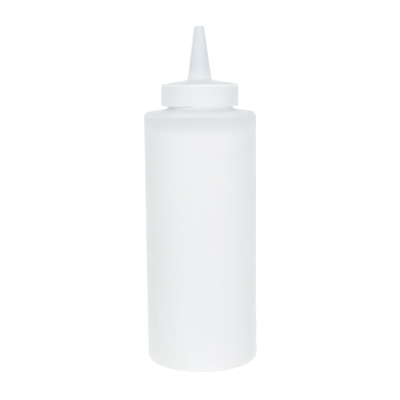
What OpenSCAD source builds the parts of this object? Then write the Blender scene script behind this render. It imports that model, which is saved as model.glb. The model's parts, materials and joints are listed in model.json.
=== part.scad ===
// Squeeze bottle for sauce: a blow-moulded bottle, a screw cap with a cone nozzle, and the washer that seals them.
// Millimetres. The origin is the middle of the base, on the table. +Z runs up the bottle's axis to the nozzle.
// Every shell is one section, drawn in the plane of radius and height, and turned about the axis.

/* [Body] */
// Outside diameter of the body
body_d = 60; // [50:0.5:80]
// Height at which the neck rises out of the shoulder
shoulder_z = 136; // [100:0.5:200]
// Fall of the shoulder from the neck to the wall, in degrees
shoulder_fall = 8; // [4:0.5:16]
// Outside radius where the shoulder turns down into the wall
shoulder_corner_r = 3.2; // [2:0.1:6]
// Thickness of the body's wall and shoulder
wall_t = 1.1; // [0.8:0.05:1.8]

/* [Base] */
// Outside radius at the foot of the wall
base_corner_r = 2.5; // [1.5:0.1:5]
// Width of the flat ring that the bottle stands on
standing_ring_w = 3.5; // [2:0.1:6]
// Rise of the hollow under the base
push_up = 3; // [1.5:0.1:6]
// Thickness of the floor
floor_t = 1.5; // [1:0.05:2.5]
// Length of the seam that the mould leaves across the base
seam_l = 30; // [16:1:36]
// Width of the seam
seam_w = 1.2; // [0.8:0.1:2]
// How far the seam stands down from the hollow
seam_h = 0.4; // [0.2:0.05:0.8]

/* [Neck] */
// Outside diameter of the neck, at the root of the screw thread
neck_d = 35.1; // [30:0.1:38]
// Diameter of the mouth
mouth_d = 31.1; // [24:0.1:32]
// Height of the neck from the shoulder to the rim
neck_h = 10.2; // [8:0.1:16]
// Radius where the neck meets the shoulder
neck_root_r = 0.8; // [0.3:0.1:1.4]
// Radius on the two edges of the rim
rim_edge_r = 0.4; // [0.2:0.05:0.7]

/* [Washer] */
// Thickness of the sealing washer
washer_t = 1.2; // [0.8:0.1:2]
// Inside diameter of the washer
washer_id = 29; // [24:0.1:30]
// Gap between the washer's edge and the bore of the cap
washer_gap = 0.25; // [0.1:0.05:0.4]
// Radius on the washer's edges
washer_edge_r = 0.25; // [0.1:0.05:0.35]

/* [Cap] */
// Outside diameter of the skirt at its foot
skirt_d = 41.3; // [41:0.1:46]
// Lean of the skirt's outside from its foot to its top, in degrees
skirt_draft = 1.5; // [0:0.1:2]
// Depth of the cap's bore, from its foot to the seat of the washer
bore_depth = 10; // [8:0.1:11]
// Space between the neck and the bore, which the two screw threads share
thread_space = 1.4; // [1:0.05:1.6]
// Thickness of the crown over the washer
crown_t = 1.6; // [1.2:0.05:2.4]
// Fall of the crown from the nozzle to its edge, in degrees
crown_fall = 8.5; // [4:0.5:14]
// Outside radius at the crown's edge
crown_corner_r = 1.6; // [0.8:0.1:1.8]
// Height of the bead that holds the washer in the cap
bead_h = 0.9; // [0.6:0.05:1.2]
// How far that bead reaches in under the washer's edge
bead_grip = 0.25; // [0.1:0.05:0.35]
// Slope cut on the bore at the skirt's foot, which leads the neck in
lead_in = 0.4; // [0.2:0.05:0.6]

/* [Nozzle] */
// Height of the tip above the table
tip_z = 179; // [176:0.5:250]
// Outside diameter where the cone stands on the crown
nozzle_root_d = 12.6; // [11:0.1:18]
// Outside diameter of the cone at its tip
nozzle_tip_d = 5.1; // [4.4:0.1:8]
// Radius where the cone meets the crown
nozzle_root_r = 2.5; // [0.5:0.1:3]
// Radius on the outside of the lip
lip_r = 0.75; // [0.3:0.05:0.8]
// Diameter of the opening in the tip
orifice_d = 3; // [1.5:0.1:3.2]
// Length of the straight part of that opening
orifice_l = 4; // [3:0.5:8]
// Inside diameter of the cone at its root
throat_d = 9.6; // [7:0.1:10]

/* [Hidden] */

// Turn of one facet on a round stretch of a section, in degrees
arc_step = 9;
dome_facets = 12;
edge_break = 0.3;
$fn = 120;

body_r = body_d / 2;
neck_r = neck_d / 2;
mouth_r = mouth_d / 2;
rim_z = shoulder_z + neck_h;
seat_z = rim_z + washer_t;

bore_r = neck_r + thread_space;
washer_r = bore_r - washer_gap;
skirt_foot_r = skirt_d / 2;
skirt_foot_z = seat_z - bore_depth;

nozzle_root = nozzle_root_d / 2;
nozzle_tip = nozzle_tip_d / 2;
orifice_r = orifice_d / 2;
throat_r = throat_d / 2;

// Points and directions are [radius, height]
function unit(v) = v / norm(v);
function angle_of(v) = atan2(v[1], v[0]);
function half_turn(a) = a > 180 ? a - 360 : a < -180 ? a + 360 : a;

// The corner b between a and c, as an arc of radius r that touches both sides, or as b itself where r is 0
function rounded_corner(a, b, c, r) =
    r <= 0 ? [b] :
    let (
        back = unit(a - b),
        ahead = unit(c - b),
        half = acos(back * ahead) / 2,
        centre = b + unit(back + ahead) * r / sin(half),
        start = angle_of(b + back * r / tan(half) - centre),
        turn = half_turn(angle_of(b + ahead * r / tan(half) - centre) - start),
        steps = max(2, ceil(abs(turn) / arc_step))
    )
    [for (i = [0 : steps]) centre + r * [cos(start + turn * i / steps), sin(start + turn * i / steps)]];

// An outline from corners of [radius, height, rounding]
function rounded_outline(corners) =
    let (n = len(corners), at = function (i) [corners[i % n][0], corners[i % n][1]])
    [for (i = [0 : n - 1]) each rounded_corner(at(i + n - 1), at(i), at(i + 1), corners[i][2])];

// A shallow dome from the axis out to radius r, with its foot at height z, as unrounded corners
function dome(r, rise, z) =
    let (sphere_r = (r * r + rise * rise) / (2 * rise), reach = asin(r / sphere_r))
    [for (i = [0 : dome_facets])
        let (a = reach * i / dome_facets)
        [sphere_r * sin(a), z + rise - sphere_r * (1 - cos(a)), 0]];

function reversed(list) = [for (i = [len(list) - 1 : -1 : 0]) list[i]];

module turned(corners) {
    rotate_extrude() polygon(rounded_outline(corners));
}

// Bottle

// Height on the shoulder's outside at a radius
function shoulder_at(r) = shoulder_z - (r - neck_r) * tan(shoulder_fall);

ring_inner_r = body_r - base_corner_r - standing_ring_w;
wall_inner_r = body_r - wall_t;
shoulder_inner_drop = wall_t / cos(shoulder_fall);

function bottle_outside() = concat(
    dome(ring_inner_r, push_up, 0),
    [
        [body_r, 0, base_corner_r],
        [body_r, shoulder_at(body_r), shoulder_corner_r],
        [neck_r, shoulder_z, neck_root_r],
        [neck_r, rim_z, rim_edge_r],
    ]
);

// Read from the mouth down, with the thicker corners that blown plastic has inside
function bottle_inside() = concat(
    [
        [mouth_r, rim_z, rim_edge_r],
        [mouth_r, shoulder_at(mouth_r) - shoulder_inner_drop, neck_root_r + wall_t],
        [wall_inner_r, shoulder_at(wall_inner_r) - shoulder_inner_drop, shoulder_corner_r],
        [wall_inner_r, floor_t, base_corner_r + wall_t],
    ],
    reversed(dome(ring_inner_r, push_up, floor_t))
);

// The line where the mould pinched the plastic shut, standing down from the hollow under the base
module base_seam() {
    hollow = dome(ring_inner_r, push_up, 0);
    proud = [for (p = hollow) [p[0], p[1] - seam_h, 0]];
    buried = [for (p = reversed(hollow)) [p[0], p[1] + floor_t / 2, 0]];
    intersection() {
        turned(concat(proud, buried));
        translate([0, 0, push_up / 2]) cube([seam_l, seam_w, push_up + 2 * floor_t], center = true);
    }
}

module bottle() {
    color([0.93, 0.94, 0.95]) union() {
        turned(concat(bottle_outside(), bottle_inside()));
        base_seam();
    }
}

// Washer

module sealing_washer() {
    color([0.97, 0.97, 0.96]) turned([
        [washer_id / 2, rim_z, washer_edge_r],
        [washer_r, rim_z, washer_edge_r],
        [washer_r, seat_z, washer_edge_r],
        [washer_id / 2, seat_z, washer_edge_r],
    ]);
}

// Cap

crown_edge_z = seat_z + crown_t - (skirt_foot_r - bore_r) * tan(crown_fall);
crown_edge_r = skirt_foot_r - (crown_edge_z - skirt_foot_z) * tan(skirt_draft);

// Height on the crown's outside at a radius, and on its underside inside the washer
function crown_at(r) = crown_edge_z + (crown_edge_r - r) * tan(crown_fall);
function crown_under_at(r) = crown_at(r) - crown_t;

bead_r = washer_r - bead_grip;
bead_top_z = rim_z - edge_break;
seat_inner_r = washer_id / 2 - edge_break;

function cap_outside() = [
    [skirt_foot_r, skirt_foot_z, edge_break],
    [crown_edge_r, crown_edge_z, crown_corner_r],
    [nozzle_root, crown_at(nozzle_root), nozzle_root_r],
    [nozzle_tip, tip_z, lip_r],
];

// Read from the tip down
function cap_inside() = [
    [orifice_r, tip_z, edge_break / 2],
    [orifice_r, tip_z - orifice_l, 0],
    [throat_r, crown_under_at(throat_r), nozzle_root_r],
    [seat_inner_r, crown_under_at(seat_inner_r), edge_break],
    [seat_inner_r, seat_z, 0],
    [bore_r, seat_z, edge_break],
    [bore_r, bead_top_z, 0],
    [bead_r, bead_top_z - bead_h / 3, edge_break / 2],
    [bead_r, bead_top_z - bead_h * 2 / 3, edge_break / 2],
    [bore_r, bead_top_z - bead_h, 0],
    [bore_r, skirt_foot_z + lead_in, 0],
    [bore_r + lead_in, skirt_foot_z, 0],
];

module nozzle_cap() {
    color([0.95, 0.96, 0.97]) turned(concat(cap_outside(), cap_inside()));
}

bottle();
sealing_washer();
nozzle_cap();
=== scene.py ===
# %% [markdown]
# # A squeeze bottle with a cone nozzle
# The object is three soft pieces: a blown bottle, a moulded cap with a cone on it, and a rubber washer.
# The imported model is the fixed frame. It says where each piece is and which body carries it, so this
# lesson never moves or resizes anything. It makes finer meshes in the same places, and gives them their
# finish.

# %% Load the frame
import json
import math

import bmesh
import bpy
from mathutils import Euler, Matrix, Vector


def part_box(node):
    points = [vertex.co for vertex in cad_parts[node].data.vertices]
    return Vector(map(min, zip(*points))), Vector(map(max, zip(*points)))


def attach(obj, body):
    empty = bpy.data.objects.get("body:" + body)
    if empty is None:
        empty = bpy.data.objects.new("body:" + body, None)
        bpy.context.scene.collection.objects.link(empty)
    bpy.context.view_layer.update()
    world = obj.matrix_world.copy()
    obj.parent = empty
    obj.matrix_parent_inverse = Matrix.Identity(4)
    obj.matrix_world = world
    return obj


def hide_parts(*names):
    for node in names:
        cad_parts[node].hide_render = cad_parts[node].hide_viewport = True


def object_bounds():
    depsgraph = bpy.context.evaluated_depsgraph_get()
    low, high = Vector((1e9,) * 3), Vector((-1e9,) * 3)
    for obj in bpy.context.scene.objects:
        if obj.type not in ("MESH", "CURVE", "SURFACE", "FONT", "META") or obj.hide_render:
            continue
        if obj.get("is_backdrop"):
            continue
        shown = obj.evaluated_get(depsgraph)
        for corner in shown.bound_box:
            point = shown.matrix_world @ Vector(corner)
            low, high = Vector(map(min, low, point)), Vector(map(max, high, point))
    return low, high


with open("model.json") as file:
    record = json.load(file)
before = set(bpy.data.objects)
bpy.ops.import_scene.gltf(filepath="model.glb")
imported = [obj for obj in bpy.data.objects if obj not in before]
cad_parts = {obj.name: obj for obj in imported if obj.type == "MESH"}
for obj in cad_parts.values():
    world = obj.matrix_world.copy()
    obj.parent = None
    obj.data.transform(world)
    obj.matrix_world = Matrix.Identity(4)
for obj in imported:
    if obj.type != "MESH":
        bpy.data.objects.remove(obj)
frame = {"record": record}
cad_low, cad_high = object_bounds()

MM = 0.001
print("box in mm:", [round((high - low) / MM, 2) for low, high in zip(cad_low, cad_high)])

# %% [markdown]
# ## Sizes
# The outer sizes are measured on the frame, so they can't drift from it. The sizes that no box shows,
# such as the radius of the neck under the cap, are the driving dimensions of the product, written once in
# millimetres.

# %% Sizes from the frame
_, bottle_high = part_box("bottle")
_, washer_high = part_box("sealing_washer")
cap_low, cap_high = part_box("nozzle_cap")

body_r = bottle_high.x
rim_z = bottle_high.z
seat_z = washer_high.z
washer_r = washer_high.x
skirt_foot_r = cap_high.x
skirt_foot_z = cap_low.z
tip_z = cap_high.z
print("body radius", round(body_r / MM, 2), "rim", round(rim_z / MM, 2), "tip", round(tip_z / MM, 2))

# %% Sizes of the bottle that its box doesn't show
wall_t = 1.1 * MM
floor_t = 1.5 * MM
neck_h = 10.2 * MM
neck_r = 17.55 * MM
mouth_r = 15.55 * MM
shoulder_z = rim_z - neck_h
shoulder_fall = math.radians(8)
shoulder_corner_r = 3.2 * MM
foot_corner_r = 2.5 * MM
standing_ring_w = 3.5 * MM
push_up = 3 * MM
neck_root_r = 0.8 * MM
rim_edge_r = 0.4 * MM
print("the neck rises out of the shoulder at", round(shoulder_z / MM, 2), "mm")

# %% Sizes of the washer and the cap that their boxes don't show
washer_hole_r = 14.5 * MM
washer_edge_r = 0.25 * MM
washer_gap = 0.25 * MM
bore_r = washer_r + washer_gap
bead_grip = 0.25 * MM
bead_h = 0.9 * MM

crown_t = 1.6 * MM
crown_fall = math.radians(8.5)
crown_corner_r = 1.6 * MM
skirt_draft = math.radians(1.5)
nozzle_root_r = 6.3 * MM
nozzle_tip_r = 2.55 * MM
nozzle_fillet_r = 2.5 * MM
lip_r = 0.75 * MM
orifice_r = 1.5 * MM
orifice_l = 4 * MM
throat_r = 4.8 * MM
edge_break = 0.3 * MM
lead_in = 0.4 * MM
print("space for the threads:", round((bore_r - neck_r) / MM, 2), "mm")

# %% [markdown]
# ## Sections
# Every piece here is round, so each is one section: an outline in the plane of radius and height. A
# section could be drawn by hand as a curve object, but a list of corners with a rounding at each is exact
# and easy to change. A point also says whether it lies on the outer skin, which later keeps the mould's
# line off the inner wall.

# %% Corners into outlines
ARC_STEP = math.radians(7.5)
FEWEST_ARC_STEPS = 3
LONG_STEP = 2.4 * MM
OUTER, INNER = 1, 0


def rounded(before, at, after, radius):
    """The corner at, as an arc that touches both sides, or as one point where the radius is 0."""
    if radius == 0:
        return [at]
    back, ahead = (before - at).normalized(), (after - at).normalized()
    half = back.angle(ahead) / 2
    centre = at + (back + ahead).normalized() * radius / math.sin(half)
    first = at + back * radius / math.tan(half) - centre
    last = at + ahead * radius / math.tan(half) - centre
    start = math.atan2(first.y, first.x)
    turn = (math.atan2(last.y, last.x) - start + math.pi) % (2 * math.pi) - math.pi
    steps = max(FEWEST_ARC_STEPS, math.ceil(abs(turn) / ARC_STEP))
    angles = [start + turn * i / steps for i in range(steps + 1)]
    return [centre + radius * Vector((math.cos(a), math.sin(a))) for a in angles]


def outline(corners, closed):
    """Points (radius, height, skin) from corners (radius, height, rounding, skin).

    Long stretches are divided, so that the mesh has points for the marks on the wall.
    """
    places = [Vector(c[:2]) for c in corners]
    points = []
    for i, (_, _, radius, skin) in enumerate(corners):
        ends = not closed and i in (0, len(corners) - 1)
        before, after = places[i - 1], places[(i + 1) % len(places)]
        arc = [places[i]] if ends else rounded(before, places[i], after, radius)
        points += [(p.x, p.y, skin) for p in arc]
    divided = []
    follow = points[1:] + points[:1] if closed else points[1:]
    for a, b in zip(points, follow):
        parts = max(1, math.ceil(math.dist(a[:2], b[:2]) / LONG_STEP))
        divided += [tuple(u + (v - u) * k / parts for u, v in zip(a, b)) for k in range(parts)]
    return divided if closed else divided + [points[-1]]


# %% [markdown]
# Under a blown bottle the plastic is pushed up into a shallow hollow, so that it stands on a ring and
# doesn't rock. The hollow is a piece of a sphere, and its height at a radius is a formula. The seam
# across it, further down, follows the same formula.

# %% The hollow under the base
DOME_POINTS = 14
ring_inner_r = body_r - foot_corner_r - standing_ring_w
dome_sphere_r = (ring_inner_r ** 2 + push_up ** 2) / (2 * push_up)


def dome_height(r, foot_z=0.0):
    """Height of the hollow under the base at a radius, where the hollow's foot is at foot_z."""
    return foot_z + push_up - dome_sphere_r + math.sqrt(dome_sphere_r ** 2 - r * r)


def dome(foot_z, skin):
    radii = [ring_inner_r * i / DOME_POINTS for i in range(DOME_POINTS + 1)]
    return [(r, dome_height(r, foot_z), 0, skin) for r in radii]


print("the hollow's radius:", round(ring_inner_r / MM, 2), "mm, its rise:", round(push_up / MM, 2), "mm")

# %% [markdown]
# The bottle's section starts on the axis under the base, runs up the outer skin to the rim, and comes
# back down the inner one. Its corners at the neck and the foot are rounder than outside, as they are in
# blown plastic. Both ends are on the axis, so the outline stays open there.


# %% The bottle's section
def shoulder_at(r):
    return shoulder_z - (r - neck_r) * math.tan(shoulder_fall)


wall_top_z = shoulder_at(body_r) - shoulder_corner_r
wall_inner_r = body_r - wall_t
shoulder_drop = wall_t / math.cos(shoulder_fall)
bottle_section = outline(
    dome(0, OUTER)
    + [
        (body_r, 0, foot_corner_r, OUTER),
        (body_r, shoulder_at(body_r), shoulder_corner_r, OUTER),
        (neck_r, shoulder_z, neck_root_r, OUTER),
        (neck_r, rim_z, rim_edge_r, OUTER),
        (mouth_r, rim_z, rim_edge_r, INNER),
        (mouth_r, shoulder_at(mouth_r) - shoulder_drop, neck_root_r + wall_t, INNER),
        (wall_inner_r, shoulder_at(wall_inner_r) - shoulder_drop, shoulder_corner_r, INNER),
        (wall_inner_r, floor_t, foot_corner_r + wall_t, INNER),
    ]
    + dome(floor_t, INNER)[::-1],
    closed=False,
)
print("bottle section:", len(bottle_section), "points")

# %% [markdown]
# The cap is one moulding: a skirt that leans in a little so that it leaves its mould, a crown that slopes
# to its edge, and the cone. Inside are the seat for the washer, and a low bead under it that keeps the
# washer from falling out. The section goes round the plastic once, so it is closed.

# %% The cap's section
crown_edge_z = seat_z + crown_t - (skirt_foot_r - bore_r) * math.tan(crown_fall)
crown_edge_r = skirt_foot_r - (crown_edge_z - skirt_foot_z) * math.tan(skirt_draft)
bead_r = washer_r - bead_grip
bead_top_z = rim_z - edge_break
seat_inner_r = washer_hole_r - edge_break


def crown_at(r):
    return crown_edge_z + (crown_edge_r - r) * math.tan(crown_fall)


cap_section = outline(
    [
        (skirt_foot_r, skirt_foot_z, edge_break, OUTER),
        (crown_edge_r, crown_edge_z, crown_corner_r, OUTER),
        (nozzle_root_r, crown_at(nozzle_root_r), nozzle_fillet_r, OUTER),
        (nozzle_tip_r, tip_z, lip_r, OUTER),
        (orifice_r, tip_z, edge_break / 2, INNER),
        (orifice_r, tip_z - orifice_l, 0, INNER),
        (throat_r, crown_at(throat_r) - crown_t, nozzle_fillet_r, INNER),
        (seat_inner_r, crown_at(seat_inner_r) - crown_t, edge_break, INNER),
        (seat_inner_r, seat_z, 0, INNER),
        (bore_r, seat_z, edge_break, INNER),
        (bore_r, bead_top_z, 0, INNER),
        (bead_r, bead_top_z - bead_h / 3, edge_break / 2, INNER),
        (bead_r, bead_top_z - bead_h * 2 / 3, edge_break / 2, INNER),
        (bore_r, bead_top_z - bead_h, 0, INNER),
        (bore_r, skirt_foot_z + lead_in, 0, INNER),
        (bore_r + lead_in, skirt_foot_z, 0, INNER),
    ],
    closed=True,
)
print("cap section:", len(cap_section), "points")

# %% [markdown]
# Such a washer is a flat ring, punched or moulded, so its section is a plain oblong between the rim and
# the seat, with its edges just broken.

# %% The washer's section
washer_section = outline(
    [
        (washer_hole_r, rim_z, washer_edge_r, INNER),
        (washer_r, rim_z, washer_edge_r, OUTER),
        (washer_r, seat_z, washer_edge_r, OUTER),
        (washer_hole_r, seat_z, washer_edge_r, INNER),
    ],
    closed=True,
)
print("washer section:", len(washer_section), "points")

# %% [markdown]
# ## Small helpers for node trees
# A node tree is a recipe, for a shape or for a finish. Building it in a script takes one call for each
# node and one for each link, so a few short helpers keep the recipes readable. A geometry tree's inputs
# have names, but a modifier is set by each socket's identifier, so the last helper looks that up.


# %% Helpers for any node tree
class Tree:
    """A node tree, with short ways to add to it."""

    def __init__(self, tree):
        self.tree = tree

    def feed(self, node, links):
        """Sets a node's inputs. links names each and what feeds it: another socket, or a plain value."""
        for key, source in links.items():
            if isinstance(source, bpy.types.NodeSocket):
                self.tree.links.new(source, node.inputs[key])
            else:
                node.inputs[key].default_value = source

    def node(self, kind, links=None, **settings):
        made = self.tree.nodes.new(kind)
        for key, value in settings.items():
            setattr(made, key, value)
        self.feed(made, links or {})
        return made

    def math(self, operation, a, b=0.0, c=0.0):
        return self.node("ShaderNodeMath", {0: a, 1: b, 2: c}, operation=operation).outputs[0]

    def product(self, first, *others):
        for other in others:
            first = self.math("MULTIPLY", first, other)
        return first

    def ramp(self, value, start, full):
        """A smooth rise from 0, where value is start, to 1, where value is full."""
        links = {"Value": value, "From Min": start, "From Max": full}
        return self.node("ShaderNodeMapRange", links, interpolation_type="SMOOTHSTEP").outputs[0]

    def dot(self, a, b):
        return self.node("ShaderNodeVectorMath", {0: a, 1: b}, operation="DOT_PRODUCT").outputs["Value"]

    def split(self, vector):
        return self.node("ShaderNodeSeparateXYZ", {0: vector}).outputs

    def blend(self, share, start, full):
        """A colour from start, where share is 0, to full, where it is 1."""
        links = {0: share, 6: start, 7: full}
        return self.node("ShaderNodeMix", links, data_type="RGBA").outputs[2]


# %% Helpers for geometry trees
class Recipe(Tree):
    """A geometry tree with named inputs."""

    def __init__(self, name, inputs):
        super().__init__(bpy.data.node_groups.new(name, "GeometryNodeTree"))
        face = self.tree.interface
        face.new_socket("Geometry", in_out="INPUT", socket_type="NodeSocketGeometry")
        face.new_socket("Geometry", in_out="OUTPUT", socket_type="NodeSocketGeometry")
        for label, kind, value in inputs:
            socket = face.new_socket(label, in_out="INPUT", socket_type="NodeSocket" + kind)
            if value is not None:
                socket.default_value = value
        self.given = self.tree.nodes.new("NodeGroupInput").outputs

    def finish(self, geometry):
        """Ends the recipe with real geometry and its material."""
        real = self.node("GeometryNodeRealizeInstances", {"Geometry": geometry})
        last = self.node(
            "GeometryNodeSetMaterial", {"Geometry": real.outputs[0], "Material": self.given["Material"]}
        )
        self.node("NodeGroupOutput", {"Geometry": last.outputs[0]})
        print(self.tree.name + ":", len(self.tree.nodes), "nodes")
        return self.tree


def placed(name, data):
    """Puts data, such as a mesh, a lamp or a camera, into the scene as an object."""
    made = bpy.data.objects.new(name, data)
    bpy.context.scene.collection.objects.link(made)
    return made


def grown(name, mesh, tree, **values):
    """Runs a recipe on a mesh and returns a plain mesh object. The value line_width sets Line Width."""
    piece = placed(name, mesh)
    recipe = piece.modifiers.new("recipe", "NODES")
    recipe.node_group = tree
    sockets = {s.name: s.identifier for s in tree.interface.items_tree if s.in_out == "INPUT"}
    for key, value in values.items():
        recipe[sockets[key.replace("_", " ").title()]] = value
    depsgraph = bpy.context.evaluated_depsgraph_get()
    made = bpy.data.meshes.new_from_object(piece.evaluated_get(depsgraph))
    piece.modifiers.remove(recipe)
    piece.data = made
    made.name = name
    bpy.data.meshes.remove(mesh)
    return piece


# %% A helper that measures a piece
def report(piece):
    shape = bmesh.new()
    shape.from_mesh(piece.data)
    open_edges = sum(1 for e in shape.edges if len(e.link_faces) != 2)
    volume = shape.calc_volume(signed=True) / MM ** 3
    triangles = sum(len(f.verts) - 2 for f in shape.faces)
    shape.free()
    print(f"{piece.name}: {triangles} triangles, {volume:.0f} cubic mm, {open_edges} open edges")


# %% [markdown]
# ## The turning recipe
# A lathe turns a section about an axis. The Screw modifier can do it too, but here the recipe also has to
# put the mould's own marks on the wall, so it is a node tree. Curve to Mesh carries the section round a
# thin spindle, and each point's distance from the axis stays exact. The steps of the turn crowd together
# at the two sides where the halves of the mould met, so that the fine line left there has enough points.

# %% Turn the section and close it on the axis
SPINDLE_R = 1 * MM
POLE_MERGE = 0.001 * MM
turning = Recipe(
    "turned_section",
    [
        ("Segments", "Int", 192),
        ("Crowding", "Float", 0.0),
        ("Line Height", "Float", 0.0),
        ("Line Width", "Float", 0.5 * MM),
        ("Ripple Depth", "Float", 0.0),
        ("Crease Depth", "Float", 0.0),
        ("Wall Low", "Float", 0.0),
        ("Wall High", "Float", 1.0),
        ("Sharp Angle", "Float", math.radians(38)),
        ("Material", "Material", None),
    ],
)
given = turning.given
section = turning.node("GeometryNodeMeshToCurve", {"Mesh": given["Geometry"]})
spindle = turning.node(
    "GeometryNodeCurvePrimitiveCircle", {"Resolution": given["Segments"], "Radius": SPINDLE_R}
)
swept = turning.node(
    "GeometryNodeCurveToMesh", {"Curve": spindle.outputs["Curve"], "Profile Curve": section.outputs[0]}
)
flipped = turning.node("GeometryNodeFlipFaces", {"Mesh": swept.outputs[0]})
closed = turning.node(
    "GeometryNodeMergeByDistance", {"Geometry": flipped.outputs[0], "Distance": POLE_MERGE}
)

# %% [markdown]
# Turning each point back by half of the sine of its doubled angle, times the input Crowding, draws the
# steps together at the two sides. There a step gets shorter by that share.

# %% Crowd the steps at the sides
place = turning.node("GeometryNodeInputPosition").outputs[0]
axes = turning.split(place)
angle = turning.math("ARCTAN2", axes["Y"], axes["X"])
doubled = turning.math("SINE", turning.math("MULTIPLY", angle, 2.0))
back_turn = turning.product(doubled, given["Crowding"], -0.5)
turned_back = turning.node(
    "ShaderNodeVectorRotate", {"Vector": place, "Angle": back_turn}, rotation_type="Z_AXIS"
)
crowded = turning.node(
    "GeometryNodeSetPosition", {"Geometry": closed.outputs[0], "Position": turned_back.outputs[0]}
)

# %% [markdown]
# A blown wall isn't perfect. It is pressed against the mould by air, then shrinks as it cools, so it has
# slow, shallow ripples. They only ever go inwards here, so the piece never leaves the frame's box. The
# line of the mould is a low ridge on the outer skin alone. It stands above the ripples beside it, but it
# is cut off at the true radius. Both fade out towards the foot and the shoulder.

# %% Ripples and the mould's line
RIPPLES_PER_METRE = 26
RIPPLE_STRETCH = 0.35
MARK_FADE = 6 * MM
LINE_CORE = 0.2

full_above = turning.math("ADD", given["Wall Low"], MARK_FADE)
full_below = turning.math("SUBTRACT", given["Wall High"], MARK_FADE)
above = turning.ramp(axes["Z"], given["Wall Low"], full_above)
below = turning.ramp(axes["Z"], given["Wall High"], full_below)
stretched = turning.node(
    "ShaderNodeVectorMath", {0: place, 1: (1.0, 1.0, RIPPLE_STRETCH)}, operation="MULTIPLY"
)
ripple = turning.node(
    "ShaderNodeTexNoise", {"Vector": stretched.outputs[0], "Scale": RIPPLES_PER_METRE, "Detail": 1.0}
).outputs[0]
inward = turning.product(ripple, given["Ripple Depth"], -1.0)

skin = turning.node("GeometryNodeInputNamedAttribute", {"Name": "skin"}, data_type="FLOAT").outputs[0]
off_line = turning.math("DIVIDE", turning.math("ABSOLUTE", axes["Y"]), given["Line Width"])
line = turning.product(turning.ramp(off_line, 1.0, LINE_CORE), skin, given["Line Height"])
marks = turning.math("MINIMUM", turning.math("ADD", inward, line), 0.0)
marks = turning.product(marks, turning.math("MULTIPLY", above, below))

# %% [markdown]
# The photograph shows one more mark: a short upright crease low on the left of the front, as soft plastic
# keeps once it has been squeezed there. It is a shallow groove across one direction from the axis. The
# groove and the marks above both move a point straight in towards the axis.

# %% The crease
CREASE_ANGLE = math.radians(-137.5)
CREASE_HALF_WIDTH = 1.5 * MM
CREASE_LOW, CREASE_LOW_FADE = 5 * MM, 8 * MM
CREASE_HIGH, CREASE_HIGH_FADE = 36 * MM, 12 * MM
PAST_AXIS = 1 * MM
toward_crease = Vector((math.cos(CREASE_ANGLE), math.sin(CREASE_ANGLE), 0))
across_crease = Vector((-toward_crease.y, toward_crease.x, 0))
off_crease = turning.math("ABSOLUTE", turning.dot(place, across_crease))
groove = turning.product(
    turning.ramp(off_crease, CREASE_HALF_WIDTH, 0.0),
    turning.ramp(turning.dot(place, toward_crease), 0.0, PAST_AXIS),
    turning.ramp(axes["Z"], CREASE_LOW, CREASE_LOW + CREASE_LOW_FADE),
    turning.ramp(axes["Z"], CREASE_HIGH, CREASE_HIGH - CREASE_HIGH_FADE),
    given["Crease Depth"],
    -1.0,
)
outward = turning.node("ShaderNodeCombineXYZ", {"X": axes["X"], "Y": axes["Y"]}).outputs[0]
outward = turning.node("ShaderNodeVectorMath", {0: outward}, operation="NORMALIZE").outputs[0]
marked = crowded
for amount in (marks, groove):
    move = turning.node("ShaderNodeVectorMath", {0: outward, "Scale": amount}, operation="SCALE")
    marked = turning.node(
        "GeometryNodeSetPosition", {"Geometry": marked.outputs[0], "Offset": move.outputs[0]}
    )
print("the crease runs from", round(CREASE_LOW / MM), "to", round(CREASE_HIGH / MM), "mm")

# %% [markdown]
# A round piece is made of flat facets, and smooth shading hides them. The few true edges, such as the one
# at the end of the straight opening in the tip, are kept sharp, because there the facets meet at a wide
# angle.

# %% Smooth faces and sharp edges
smooth = turning.node(
    "GeometryNodeSetShadeSmooth", {"Geometry": marked.outputs[0], "Shade Smooth": True}
)
bend = turning.node("GeometryNodeInputMeshEdgeAngle").outputs["Unsigned Angle"]
soft = turning.node("FunctionNodeCompare", {0: bend, 1: given["Sharp Angle"]}, operation="LESS_THAN")
edges = turning.node(
    "GeometryNodeSetShadeSmooth",
    {"Geometry": smooth.outputs[0], "Shade Smooth": soft.outputs[0]},
    domain="EDGE",
)
turned_section = turning.finish(edges.outputs[0])


def section_mesh(name, points, closed):
    """The section as a loop of edges, laid out the way that Curve to Mesh reads a profile."""
    mesh = bpy.data.meshes.new(name + "_section")
    count = len(points)
    edges = [(i, (i + 1) % count) for i in range(count if closed else count - 1)]
    mesh.from_pydata([(r - SPINDLE_R, -z, 0) for r, z, _ in points], edges, [])
    mesh.attributes.new("skin", "FLOAT", "POINT").data.foreach_set("value", [s for _, _, s in points])
    return mesh


# %% [markdown]
# ## The finish of natural polyethylene
# Squeeze bottles are low-density polyethylene with no dye: milky, slightly grey where it is thick, with a
# satin skin. One shader group holds what both mouldings share: slow clouds from uneven cooling, upright
# flow streaks, and the fine orange peel of the mould. It only puts out a colour, a roughness and a
# height. The Principled shader stays in each material, with light spread under the surface by its own
# subsurface sockets.

# %% A shader group for milky plastic
milky = bpy.data.node_groups.new("milky_plastic", "ShaderNodeTree")
for label, kind, value in (
    ("Colour", "Color", (0.8, 0.8, 0.8, 1)),
    ("Thick And Shaded Colour", "Color", (0.7, 0.72, 0.71, 1)),
    ("Thickness", "Float", 0.0),
    ("Cloud Size", "Float", 30.0),
    ("Cloud Amount", "Float", 0.35),
    ("Streak Amount", "Float", 0.3),
    ("Sheen Roughness", "Float", 0.275),
):
    socket = milky.interface.new_socket(label, in_out="INPUT", socket_type="NodeSocket" + kind)
    socket.default_value = value
for label, kind in (("Colour", "Color"), ("Roughness", "Float"), ("Height", "Float")):
    milky.interface.new_socket(label, in_out="OUTPUT", socket_type="NodeSocket" + kind)
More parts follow.
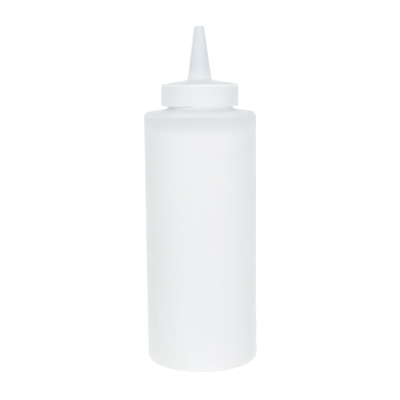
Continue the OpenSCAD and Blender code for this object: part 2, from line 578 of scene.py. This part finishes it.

# %% [markdown]
# The clouds, the streaks and the amount that each material passes in, for thick plastic and for painted
# shade and painted light, add up to one share, which blends the thin plastic's colour into the thick and
# shaded one's. The clouds also make the sheen a little uneven. A glossier skin than this one gives
# blotches with hard edges.

# %% What the group does
STREAKS_PER_METRE = 110
STREAK_STRETCH = (1.0, 1.0, 0.06)
PEEL_PER_METRE = 1400
CLOUD_ROUGHENS = 0.08
STREAK_RELIEF = 1.5
plastic = Tree(milky)
group_in = milky.nodes.new("NodeGroupInput").outputs
coords = plastic.node("ShaderNodeTexCoord").outputs["Object"]
upright = plastic.node("ShaderNodeMapping", {"Vector": coords, "Scale": STREAK_STRETCH}).outputs[0]
clouds = plastic.node(
    "ShaderNodeTexNoise", {"Vector": coords, "Scale": group_in["Cloud Size"], "Detail": 3.0}
).outputs[0]
streaks = plastic.node(
    "ShaderNodeTexNoise",
    {"Vector": upright, "Scale": STREAKS_PER_METRE, "Detail": 4.0, "Roughness": 0.6},
).outputs[0]
peel = plastic.node(
    "ShaderNodeTexNoise", {"Vector": coords, "Scale": PEEL_PER_METRE, "Detail": 2.0}
).outputs[0]
cloudy = plastic.product(plastic.math("SUBTRACT", clouds, 0.5), group_in["Cloud Amount"])
streaky = plastic.product(plastic.math("SUBTRACT", streaks, 0.5), group_in["Streak Amount"])
# The amount that a material passes in also carries its painted shade and painted light.
amount = plastic.math("ADD", plastic.math("ADD", cloudy, streaky), group_in["Thickness"])
plastic.node(
    "NodeGroupOutput",
    {
        "Colour": plastic.blend(amount, group_in["Colour"], group_in["Thick And Shaded Colour"]),
        "Roughness": plastic.math("MULTIPLY_ADD", clouds, CLOUD_ROUGHENS, group_in["Sheen Roughness"]),
        "Height": plastic.math("ADD", peel, plastic.product(streaks, STREAK_RELIEF)),
    },
)
print(milky.name + ":", len(milky.nodes), "nodes")

# %% [markdown]
# Both mouldings get the group, a fine relief from its height, and the same spread of light under the
# surface. A material asks how grey its wall is at each place, from thick plastic and from painted shade
# and painted light, and a function of its own answers that, because the two pieces are thick, and painted,
# in different places.

# %% Materials for the two mouldings
POLYETHYLENE_IOR = 1.51
PEEL_DEPTH = 0.05 * MM


def new_finish(name):
    """A new material, its tree for the helpers above, and its Principled shader."""
    material = bpy.data.materials.new(name)
    material.use_nodes = True
    return material, Tree(material.node_tree), material.node_tree.nodes["Principled BSDF"]


def moulded(name, colour, thick_and_shaded_colour, thickness_and_painted_light, relief):
    """A milky plastic. thickness_and_painted_light(tree, place) returns how grey the wall is there, from 0
    to 1: thick plastic, painted shade and painted light.
    """
    material, tree, shader = new_finish(name)
    place = tree.node("ShaderNodeTexCoord").outputs["Object"]
    looks = tree.node(
        "ShaderNodeGroup",
        {
            "Colour": (*colour, 1),
            "Thick And Shaded Colour": (*thick_and_shaded_colour, 1),
            "Thickness": thickness_and_painted_light(tree, place),
        },
        node_tree=milky,
    ).outputs
    bump = tree.node(
        "ShaderNodeBump", {"Height": looks["Height"], "Strength": relief, "Distance": PEEL_DEPTH}
    )
    tree.feed(
        shader,
        {
            "Base Color": looks["Colour"],
            "Roughness": looks["Roughness"],
            "Normal": bump.outputs["Normal"],
            "IOR": POLYETHYLENE_IOR,
            "Specular IOR Level": 0.25,
            "Subsurface Weight": 0.35,
            "Subsurface Radius": (1.0, 1.0, 0.9),
            "Subsurface Scale": 1 * MM,
        },
    )
    print("finish:", name)
    return material


# %% [markdown]
# Under the shoulder the bottle gets a greyer band of painted shade, where the shoulder and the cap keep
# light off the wall. The band starts sharply under the corner, fades down over a centimetre or so, and is
# strongest in front and behind. The shoulder's slope is painted greyer outwards, as painted shade. The
# wall has a grey tone of its own, painted a little greyer to its sides as painted shade, and paler towards
# the foot as painted light from the paper. The neck is painted very white, as painted light that lifts the
# shade in the gap under the cap, so that the light which enters the gap finds its way out again. Each of
# the next functions returns how grey one region is, from 0 to 1.

# %% Where the bottle's wall is thick, and its painted shade and light
CORNER_BLEND = 2 * MM
SHADE_BAND_FADE = 13 * MM
SHADE_BAND_AT_SIDES = 0.45
WALL_AMOUNT, WALL_FOOT_PAINTED_LIGHT_BLEND = 0.22, (-10 * MM, 40 * MM)
SIDE_PAINTED_SHADE, SIDE_PAINTED_SHADE_BLEND = 0.1, (0.55, 1.0)
neck_foot_z = shoulder_z - 0.4 * MM
SHOULDER_PAINTED_SHADE, SHOULDER_PAINTED_SHADE_BLEND = 0.6, (neck_foot_z, shoulder_at(body_r) - 1 * MM)


# Painted shade: a grey band under the shoulder's corner, strongest in front and behind.
def painted_shade_band(tree, axes):
    starts = tree.ramp(axes["Z"], wall_top_z + CORNER_BLEND, wall_top_z + CORNER_BLEND / 2)
    fades = tree.ramp(axes["Z"], wall_top_z - SHADE_BAND_FADE, wall_top_z)
    depth = tree.math("DIVIDE", axes["Y"], body_r)
    facing = tree.math("MULTIPLY_ADD", tree.product(depth, depth), 1 - SHADE_BAND_AT_SIDES, SHADE_BAND_AT_SIDES)
    return tree.product(starts, fades, facing)


# The wall's own grey tone, with painted shade to its sides and painted light near the foot.
def wall_tone_painted_shade_and_light(tree, axes):
    to_side = tree.math("ABSOLUTE", tree.math("DIVIDE", axes["X"], body_r))
    side = tree.product(tree.ramp(to_side, *SIDE_PAINTED_SHADE_BLEND), SIDE_PAINTED_SHADE)
    return tree.math("MULTIPLY_ADD", tree.ramp(axes["Z"], *WALL_FOOT_PAINTED_LIGHT_BLEND), WALL_AMOUNT, side)


# Painted shade: the shoulder's slope greyer outwards.
def painted_shoulder_shade(tree, axes):
    outwards = tree.ramp(axes["Z"], *SHOULDER_PAINTED_SHADE_BLEND)
    past_corner = tree.ramp(axes["Z"], wall_top_z, wall_top_z + CORNER_BLEND)
    return tree.product(outwards, past_corner, SHOULDER_PAINTED_SHADE)


# %% [markdown]
# The crease gets a pale line of painted highlight, where its flank would catch the light. The next
# function returns 0 along the crease's line and 1 elsewhere. It measures only how far a place is from the
# upright plane through the crease and the axis, so the far side of the wall gets the same faint line.

# %% The crease's painted highlight, and the bottle's grey tone with its painted shade and light
CREASE_PAINTED_HIGHLIGHT = (0.4 * MM, 1.2 * MM)
CREASE_PAINTED_HIGHLIGHT_TOP = 10 * MM
NECK_PAINTED_LIGHT_BLEND = 1 * MM


# Painted highlight: a pale line along the crease.
def off_painted_crease_highlight(tree, axes):
    off_plane = tree.product(axes["X"], across_crease.x)
    off_plane = tree.math("MULTIPLY_ADD", axes["Y"], across_crease.y, off_plane)
    beside = tree.ramp(tree.math("ABSOLUTE", off_plane), *CREASE_PAINTED_HIGHLIGHT)
    return tree.math("MAXIMUM", beside, tree.ramp(axes["Z"], CREASE_HIGH - CREASE_PAINTED_HIGHLIGHT_TOP, CREASE_HIGH))


# How grey the bottle is: its own tone, painted shade, painted light and the crease's painted highlight.
def bottle_thickness_and_painted_light(tree, place):
    axes = tree.split(place)
    thick = tree.math("MAXIMUM", wall_tone_painted_shade_and_light(tree, axes), painted_shoulder_shade(tree, axes))
    thick = tree.math("MAXIMUM", thick, painted_shade_band(tree, axes))
    # Painted light: the neck, down to just below the shoulder, is left white, which lifts the shade in the
    # gap under the cap.
    below_painted_neck_light = tree.ramp(axes["Z"], neck_foot_z, neck_foot_z - NECK_PAINTED_LIGHT_BLEND)
    return tree.product(thick, off_painted_crease_highlight(tree, axes), below_painted_neck_light)


# The bottle's grey colour is that of its thick plastic and of its painted shade.
bottle_plastic = moulded(
    "bottle_polyethylene", (0.985, 0.985, 0.99), (0.795, 0.805, 0.82), bottle_thickness_and_painted_light, relief=0.15
)

# %% [markdown]
# The cap's crown and skirt have an even wall, and the cone looks greyer still. The inside of the skirt is
# painted pale, as the neck is, as painted light that lifts the shade in the gap between them. The cap is
# also thin at the rounded edge of its crown, since the bore has no such rounding inside, and that edge is
# painted paler, as a painted highlight.

# %% Where the cap's wall is thick, its painted light and its painted highlight
CROWN_AMOUNT, CONE_ADDS = 0.52, 0.42
CONE_BLEND = 8 * MM
BORE_BLEND = 0.5 * MM
SEAT_BLEND = 1 * MM
FOOT_BLEND = (skirt_foot_z + 0.05 * MM, skirt_foot_z + 0.4 * MM)
EDGE_HIGHLIGHT_FROM = (crown_edge_z - 1.7 * MM, crown_edge_z - 0.9 * MM)
EDGE_HIGHLIGHT_TO = (crown_edge_z - 0.4 * MM, crown_edge_z + 0.1 * MM)


def cap_thickness_and_painted_light(tree, place):
    axes = tree.split(place)
    flat = tree.node("ShaderNodeCombineXYZ", {"X": axes["X"], "Y": axes["Y"]}).outputs[0]
    from_axis = tree.node("ShaderNodeVectorMath", {0: flat}, operation="LENGTH").outputs["Value"]
    cone_foot_z = crown_at(nozzle_root_r)
    cone = tree.ramp(axes["Z"], cone_foot_z, cone_foot_z + CONE_BLEND)
    thick = tree.math("MULTIPLY_ADD", cone, CONE_ADDS, CROWN_AMOUNT)

    # Painted light: the bore of the skirt and its foot are left pale, which lifts the shade in the gap
    # under the cap.
    off_painted_light_bore = tree.ramp(from_axis, bore_r + lead_in, bore_r + lead_in + BORE_BLEND)
    outside = tree.product(off_painted_light_bore, tree.ramp(axes["Z"], *FOOT_BLEND))
    outside = tree.math("MAXIMUM", outside, tree.ramp(axes["Z"], seat_z - SEAT_BLEND, seat_z))
    # Painted highlight: the rounded edge of the crown is left paler.
    below_edge_highlight = tree.math("SUBTRACT", 1.0, tree.ramp(axes["Z"], *EDGE_HIGHLIGHT_FROM))
    off_edge_highlight = tree.math("MAXIMUM", below_edge_highlight, tree.ramp(axes["Z"], *EDGE_HIGHLIGHT_TO))
    return tree.product(thick, tree.product(outside, off_edge_highlight))


cap_plastic = moulded(
    "cap_polyethylene", (0.965, 0.985, 0.985), (0.79, 0.825, 0.85), cap_thickness_and_painted_light, relief=0.10
)

# %% [markdown]
# The washer is soft silicone rubber: off-white and dull, with a slight mottle and a fine grain. Two
# noises are enough for it, and it spreads a little less light under its surface than the plastic does.

# %% The washer's silicone
MOTTLES_PER_METRE = 160
GRAINS_PER_METRE = 2600
GRAIN_DEPTH = 0.03 * MM
washer_rubber, tree, shader = new_finish("washer_silicone")
place = tree.node("ShaderNodeTexCoord").outputs["Object"]
mottle = tree.node(
    "ShaderNodeTexNoise", {"Vector": place, "Scale": MOTTLES_PER_METRE, "Detail": 4.0}
).outputs[0]
grain = tree.node(
    "ShaderNodeTexNoise", {"Vector": place, "Scale": GRAINS_PER_METRE, "Detail": 2.0}
).outputs[0]
bump = tree.node("ShaderNodeBump", {"Height": grain, "Strength": 0.3, "Distance": GRAIN_DEPTH})
rough = tree.node("ShaderNodeMapRange", {"Value": mottle, "To Min": 0.5, "To Max": 0.65})
tree.feed(
    shader,
    {
        "Base Color": tree.blend(mottle, (0.80, 0.80, 0.77, 1), (0.72, 0.72, 0.69, 1)),
        "Roughness": rough.outputs[0],
        "Normal": bump.outputs["Normal"],
        "Subsurface Weight": 0.3,
        "Subsurface Radius": (1.0, 0.95, 0.85),
        "Subsurface Scale": 1 * MM,
    },
)
print("finish:", washer_rubber.name)

# %% [markdown]
# ## The bottle
# The section is turned, and the result stands for the CAD bottle. The wall keeps its real thickness with
# an inner and an outer skin, because light that enters such a wall comes out again a little further on.

# %% Turn the bottle
bottle = grown(
    "blown_bottle",
    section_mesh("bottle", bottle_section, closed=False),
    turned_section,
    segments=288,
    crowding=0.8,
    line_height=0.05 * MM,
    line_width=0.45 * MM,
    ripple_depth=0.12 * MM,
    crease_depth=0.3 * MM,
    wall_low=foot_corner_r,
    wall_high=wall_top_z,
    material=bottle_plastic,
)
report(bottle)

# %% [markdown]
# ## The pinched seam under the base
# A blown bottle starts as a soft tube. The closing mould pinches the tube's end shut, and cuts off the
# tail, which leaves a straight, slightly proud seam across the hollow of the base. It could be a
# displaced line of the base, but a bar of its own keeps its edges crisp. Its height follows the hollow,
# so it is one loop of points for each step.

# %% The seam
seam_l = 30 * MM
seam_w = 1.2 * MM
seam_h = 0.4 * MM
seam_edge = 0.12 * MM
seam_buried = floor_t / 3
SEAM_STEPS = 60


def seam_mesh():
    shape = bmesh.new()
    half = seam_w / 2
    ring = [(-half, seam_buried), (-half, seam_edge - seam_h), (seam_edge - half, -seam_h)]
    ring += [(-y, z) for y, z in reversed(ring)]
    loops = []
    for i in range(SEAM_STEPS + 1):
        x = seam_l * (i / SEAM_STEPS - 0.5)
        foot = dome_height(abs(x))
        loops.append([shape.verts.new((x, y, foot + z)) for y, z in ring])
    for a, b in zip(loops, loops[1:]):
        for k in range(len(ring)):
            after = (k + 1) % len(ring)
            shape.faces.new((a[k], a[after], b[after], b[k]))
    shape.faces.new(loops[0])
    shape.faces.new(loops[-1])
    bmesh.ops.recalc_face_normals(shape, faces=shape.faces)
    mesh = bpy.data.meshes.new("pinched_seam")
    shape.to_mesh(mesh)
    shape.free()
    mesh.materials.append(bottle_plastic)
    return mesh


seam = placed("pinched_seam", seam_mesh())
report(seam)

# %% [markdown]
# ## The cap and the washer
# The same recipe turns them, without ripples or a line, because neither is blown.

# %% Turn the cap and the washer
cap = grown(
    "moulded_cap",
    section_mesh("cap", cap_section, closed=True),
    turned_section,
    segments=192,
    material=cap_plastic,
)
washer = grown(
    "soft_washer",
    section_mesh("washer", washer_section, closed=True),
    turned_section,
    segments=160,
    material=washer_rubber,
)
report(cap)
report(washer)

# %% [markdown]
# ## The screw threads
# The neck has a thread outside, and the cap has the matching one inside. A thread is a profile that
# follows a helix, which is what Curve to Mesh is for. The helix is a line of points that a formula winds
# up. Both threads come from one recipe: a positive depth stands out of the neck, and a negative one
# stands in from the bore.

# %% The thread's helix
threading = Recipe(
    "screw_thread",
    [
        ("Root Radius", "Float", 17.5 * MM),
        ("Depth", "Float", 1 * MM),
        ("Pitch", "Float", 4.2 * MM),
        ("Turns", "Float", 1.25),
        ("Start Height", "Float", 100 * MM),
        ("Start Angle", "Float", 0.0),
        ("Root Width", "Float", 2 * MM),
        ("Crest Width", "Float", 1 * MM),
        ("Points", "Int", 200),
        ("Material", "Material", None),
    ],
)
given = threading.given
wire = threading.node("GeometryNodeMeshLine", {"Count": given["Points"]})
last = threading.math("SUBTRACT", given["Points"], 1.0)
along = threading.math("DIVIDE", threading.node("GeometryNodeInputIndex").outputs[0], last)
turned = threading.product(along, given["Turns"])
theta = threading.math("MULTIPLY_ADD", turned, 2 * math.pi, given["Start Angle"])
helix = threading.node(
    "ShaderNodeCombineXYZ",
    {
        "X": threading.product(threading.math("COSINE", theta), given["Root Radius"]),
        "Y": threading.product(threading.math("SINE", theta), given["Root Radius"]),
        "Z": threading.math("MULTIPLY_ADD", turned, given["Pitch"], given["Start Height"]),
    },
)
wound = threading.node(
    "GeometryNodeSetPosition", {"Geometry": wire.outputs[0], "Position": helix.outputs[0]}
)
wound = threading.node("GeometryNodeMeshToCurve", {"Mesh": wound.outputs[0]})
wound = threading.node("GeometryNodeSetCurveNormal", {"Curve": wound.outputs[0]}, mode="Z_UP")

# %% [markdown]
# The profile is wide at its root, narrow at its crest, and sunk a little into the wall that carries it,
# so that no gap shows. The two ends run out to almost nothing, so that the cap starts easily.

# %% The thread's profile and its run-out
THREAD_SINK = 0.15 * MM
CREST_ROUNDING = 0.22 * MM
ROUNDING_POINTS = 3
RUN_OUT = 0.12
END_KEEPS = 0.01
root = (threading.product(threading.math("SIGN", given["Depth"]), -THREAD_SINK), given["Root Width"])
crest = (given["Depth"], given["Crest Width"])
corner_points = {}
sides = ((root, -0.5), (crest, -0.5), (crest, 0.5), (root, 0.5))
for number, ((rise, width), half) in enumerate(sides, 1):
    corner = threading.node("ShaderNodeCombineXYZ", {"X": rise, "Y": threading.product(width, half)})
    corner_points[f"Point {number}"] = corner.outputs[0]
profile = threading.node("GeometryNodeCurvePrimitiveQuadrilateral", corner_points, mode="POINTS")
profile = threading.node(
    "GeometryNodeFilletCurve",
    {"Curve": profile.outputs[0], "Radius": CREST_ROUNDING, "Count": ROUNDING_POINTS},
    mode="POLY",
)
share = threading.node("GeometryNodeSplineParameter").outputs["Factor"]
fade_in = threading.ramp(share, -END_KEEPS, RUN_OUT)
fade_out = threading.ramp(share, 1 + END_KEEPS, 1 - RUN_OUT)
thread = threading.node(
    "GeometryNodeCurveToMesh",
    {
        "Curve": wound.outputs[0],
        "Profile Curve": profile.outputs[0],
        "Scale": threading.product(fade_in, fade_out),
        "Fill Caps": True,
    },
)
thread = threading.node(
    "GeometryNodeSetShadeSmooth", {"Geometry": thread.outputs[0], "Shade Smooth": True}
)
screw_thread = threading.finish(thread.outputs[0])

# %% [markdown]
# The two threads share the space between the neck and the bore. Half a pitch apart, each fills the
# other's groove, so the cap's thread starts half a pitch lower than the neck's. The pitch is the one that
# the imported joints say, as the lift for each turn.

# %% Make both threads
lift = next(c for c in frame["record"]["behaviour"]["couplings"] if c["joint"] == "cap_lift")
pitch = lift["ratio"] * 2 * math.pi
thread_depth = 1.05 * MM
neck_thread_z = rim_z - 6.6 * MM
thread_sizes = {
    "pitch": pitch,
    "start_angle": math.radians(200),
    "root_width": 1.75 * MM,
    "crest_width": 0.75 * MM,
    "points": 240,
}
neck_thread = grown(
    "neck_thread",
    bpy.data.meshes.new("wire"),
    screw_thread,
    root_radius=neck_r,
    depth=thread_depth,
    turns=1.3,
    start_height=neck_thread_z,
    material=bottle_plastic,
    **thread_sizes,
)
cap_thread = grown(
    "cap_thread",
    bpy.data.meshes.new("wire"),
    screw_thread,
    root_radius=bore_r,
    depth=-thread_depth,
    turns=1.2,
    start_height=neck_thread_z - pitch / 2,
    material=cap_plastic,
    **thread_sizes,
)
print("pitch in mm:", round(pitch / MM, 3))

# %% [markdown]
# Curve to Mesh caps each end with faces of its own, which only touch the rest. Merging the doubled points
# closes the thread, and then every face can be turned outwards.

# %% Close both threads
END_MERGE = 0.0005 * MM


def close_ends(piece):
    shape = bmesh.new()
    shape.from_mesh(piece.data)
    bmesh.ops.remove_doubles(shape, verts=shape.verts, dist=END_MERGE)
    bmesh.ops.recalc_face_normals(shape, faces=shape.faces)
    shape.to_mesh(piece.data)
    shape.free()


for piece in (neck_thread, cap_thread):
    close_ends(piece)
    report(piece)

# %% [markdown]
# ## What each piece rides on
# The body names are those of the imported model. The new meshes stand for the CAD nodes, which stay hidden
# as the collision shapes.

# %% Ride and replace
for piece, body, slot in (
    (bottle, "bottle", "bottle"),
    (seam, "bottle", "bottle"),
    (neck_thread, "bottle", "bottle"),
    (washer, "washer", "washer"),
    (cap, "cap", "cap"),
    (cap_thread, "cap", "cap"),
):
    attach(piece, body)
    print(piece.name, "rides on", body)
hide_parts("bottle")
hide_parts("sealing_washer")
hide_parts("nozzle_cap")

# %% [markdown]
# ## The floor and the light
# The product stands on white paper in soft light from all round. The paper and the world are plain white
# to the camera, while the light that they give the object is set apart from that. A Light Path node can
# tell which rays are looking and which are lighting.


# %% Rays that look
def seen_by(tree):
    """1 for rays that look at the surface, straight, through plastic or in a reflection, otherwise 0."""
    rays = tree.node("ShaderNodeLightPath").outputs
    seen = tree.math("MAXIMUM", rays["Is Camera Ray"], rays["Is Transmission Ray"])
    return tree.math("MAXIMUM", seen, rays["Is Glossy Ray"])


# %% The paper
PAPER_GLOW = 0.6
PAPER_HALF = 6.0
paper, tree, shader = new_finish("white_paper")
tree.feed(
    shader,
    {
        "Base Color": (0.9, 0.9, 0.9, 1),
        "Roughness": 0.9,
        "Specular IOR Level": 0.0,
        "Emission Color": (1, 1, 1, 1),
        "Emission Strength": tree.product(seen_by(tree), PAPER_GLOW),
    },
)
mesh = bpy.data.meshes.new("paper")
corners = [(-1, -1), (1, -1), (1, 1), (-1, 1)]
mesh.from_pydata([(PAPER_HALF * x, PAPER_HALF * y, 0) for x, y in corners], [], [(0, 1, 2, 3)])
mesh.materials.append(paper)
floor = placed("paper", mesh)
floor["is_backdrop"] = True
print("paper:", 2 * PAPER_HALF, "m wide")

# %% [markdown]
# The world's light is strongest at the horizon and falls off overhead, as in a room with bright walls.
# That keeps the cap's crown and the shoulder from turning whiter than the wall. Its light is slightly
# cool, and the warm lamp in front makes up for that on the side that faces the camera.

# %% The world
LEVEL_AT_HORIZON = 1.03
LEVEL_OVERHEAD = 0.3
COOL = (0.96, 1.0, 1.0, 1)
WHITE = (1, 1, 1, 1)
world = bpy.data.worlds.new("studio")
bpy.context.scene.world = world
world.use_nodes = True
tree = Tree(world.node_tree)
seen = seen_by(tree)
upward = tree.split(tree.node("ShaderNodeTexCoord").outputs["Generated"])["Z"]
level = tree.node(
    "ShaderNodeMapRange", {"Value": upward, "To Min": LEVEL_AT_HORIZON, "To Max": LEVEL_OVERHEAD}
)
strength = tree.node("ShaderNodeMix", {0: seen, 2: level.outputs[0], 3: 1.0}).outputs[0]
tree.feed(
    world.node_tree.nodes["Background"], {"Color": tree.blend(seen, COOL, WHITE), "Strength": strength}
)
print("world: level", LEVEL_AT_HORIZON, "at the horizon,", LEVEL_OVERHEAD, "overhead")

# %% [markdown]
# A wide, slightly warm soft box in front makes the middle of the wall a little lighter than its sides,
# which is what shows that it is round. The one on the left is low, so that its light also gets into the
# gap under the cap. Two small ones high up are placed where the shoulder's rounded edge reflects them to
# the camera. The satin skin spreads them, so they only make it a little lighter there.

# %% The lamps
WARM = (1.0, 0.92, 0.95)
PLAIN = (1, 1, 1)
middle = Vector((0, 0, tip_z / 2))
shoulder = Vector((0, 0, shoulder_z))


def soft_box(name, place, target, size, level, colour):
    """A rectangular lamp that lights a matt white face, turned to it, to that level at the target."""
    lamp = bpy.data.lights.new(name, "AREA")
    lamp.shape = "RECTANGLE"
    lamp.size, lamp.size_y = size
    lamp.color = colour
    away = target - Vector(place)
    lamp.energy = level * math.pi ** 2 * away.length_squared
    lamp_object = placed(name, lamp)
    lamp_object.location = place
    lamp_object.rotation_euler = away.to_track_quat("-Z", "Y").to_euler()
    print(f"{name}: {away.length:.2f} m away, {lamp.energy:.2f} W")


soft_box("front_box", (0.4, -1.24, 0.31), middle, (2.0, 0.58), 0.28, WARM)
soft_box("left_box", (-1.1, -0.62, 0.24), middle, (0.7, 0.44), 0.04, PLAIN)
soft_box("glint_front", (-0.17, -0.41, 1.13), shoulder, (0.3, 0.2), 0.12, PLAIN)
soft_box("glint_left", (-0.41, 0.18, 1.13), shoulder, (0.2, 0.2), 0.04, PLAIN)

# %% [markdown]
# ## The camera
# The camera was fitted to the outline of the bottle in the photograph: how far off it stood, how high,
# and how much it looked down. A small roll is kept, because the bottle leans a little to the left in the
# frame.

# %% Place the camera
CAMERA_DISTANCE = 452.0 * MM
CAMERA_HEIGHT = 148.24 * MM
CAMERA_PITCH = math.radians(6.81)
CAMERA_ROLL = math.radians(-0.5875)
FRAME_PIXELS = 400
FOCAL_PIXELS = 844.07
SHIFT_PIXELS = (0.717, -14.0)
SENSOR_WIDTH = 36
lens = bpy.data.cameras.new("camera")
lens.sensor_width = SENSOR_WIDTH
lens.lens = FOCAL_PIXELS / FRAME_PIXELS * SENSOR_WIDTH
lens.shift_x = -SHIFT_PIXELS[0] / FRAME_PIXELS
lens.shift_y = SHIFT_PIXELS[1] / FRAME_PIXELS
camera = placed("camera", lens)
camera.location = (0, -CAMERA_DISTANCE, CAMERA_HEIGHT)
tilt = Euler((math.pi / 2 - CAMERA_PITCH, 0, 0)).to_matrix() @ Matrix.Rotation(CAMERA_ROLL, 3, "Z")
camera.rotation_euler = tilt.to_euler()
bpy.context.scene.camera = camera
print("camera:", round(lens.lens, 1), "mm lens,", round(CAMERA_DISTANCE / MM), "mm away")

# %% [markdown]
# Milky plastic is bright because light goes in and out of it many times. In the gap under the cap it
# bounces between two pale walls, so the renderer has to follow it for more bounces than usual.

# %% Colours as they are, and more bounces
bpy.context.scene.view_settings.view_transform = "Standard"
bpy.context.scene.cycles.diffuse_bounces = 16
bpy.context.scene.cycles.max_bounces = 32
print("view transform:", bpy.context.scene.view_settings.view_transform)

# %% [markdown]
# ## Check and finish
# The visual model is meant to stay inside the CAD model's box, so the last cell prints how far it stands
# out past that box's high ends.

# %% Write the sizes and finish
low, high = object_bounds()
past = [round((b - a) / MM, 3) for a, b in zip(cad_high, high)]
print("stands out at the high ends by, in mm:", past)
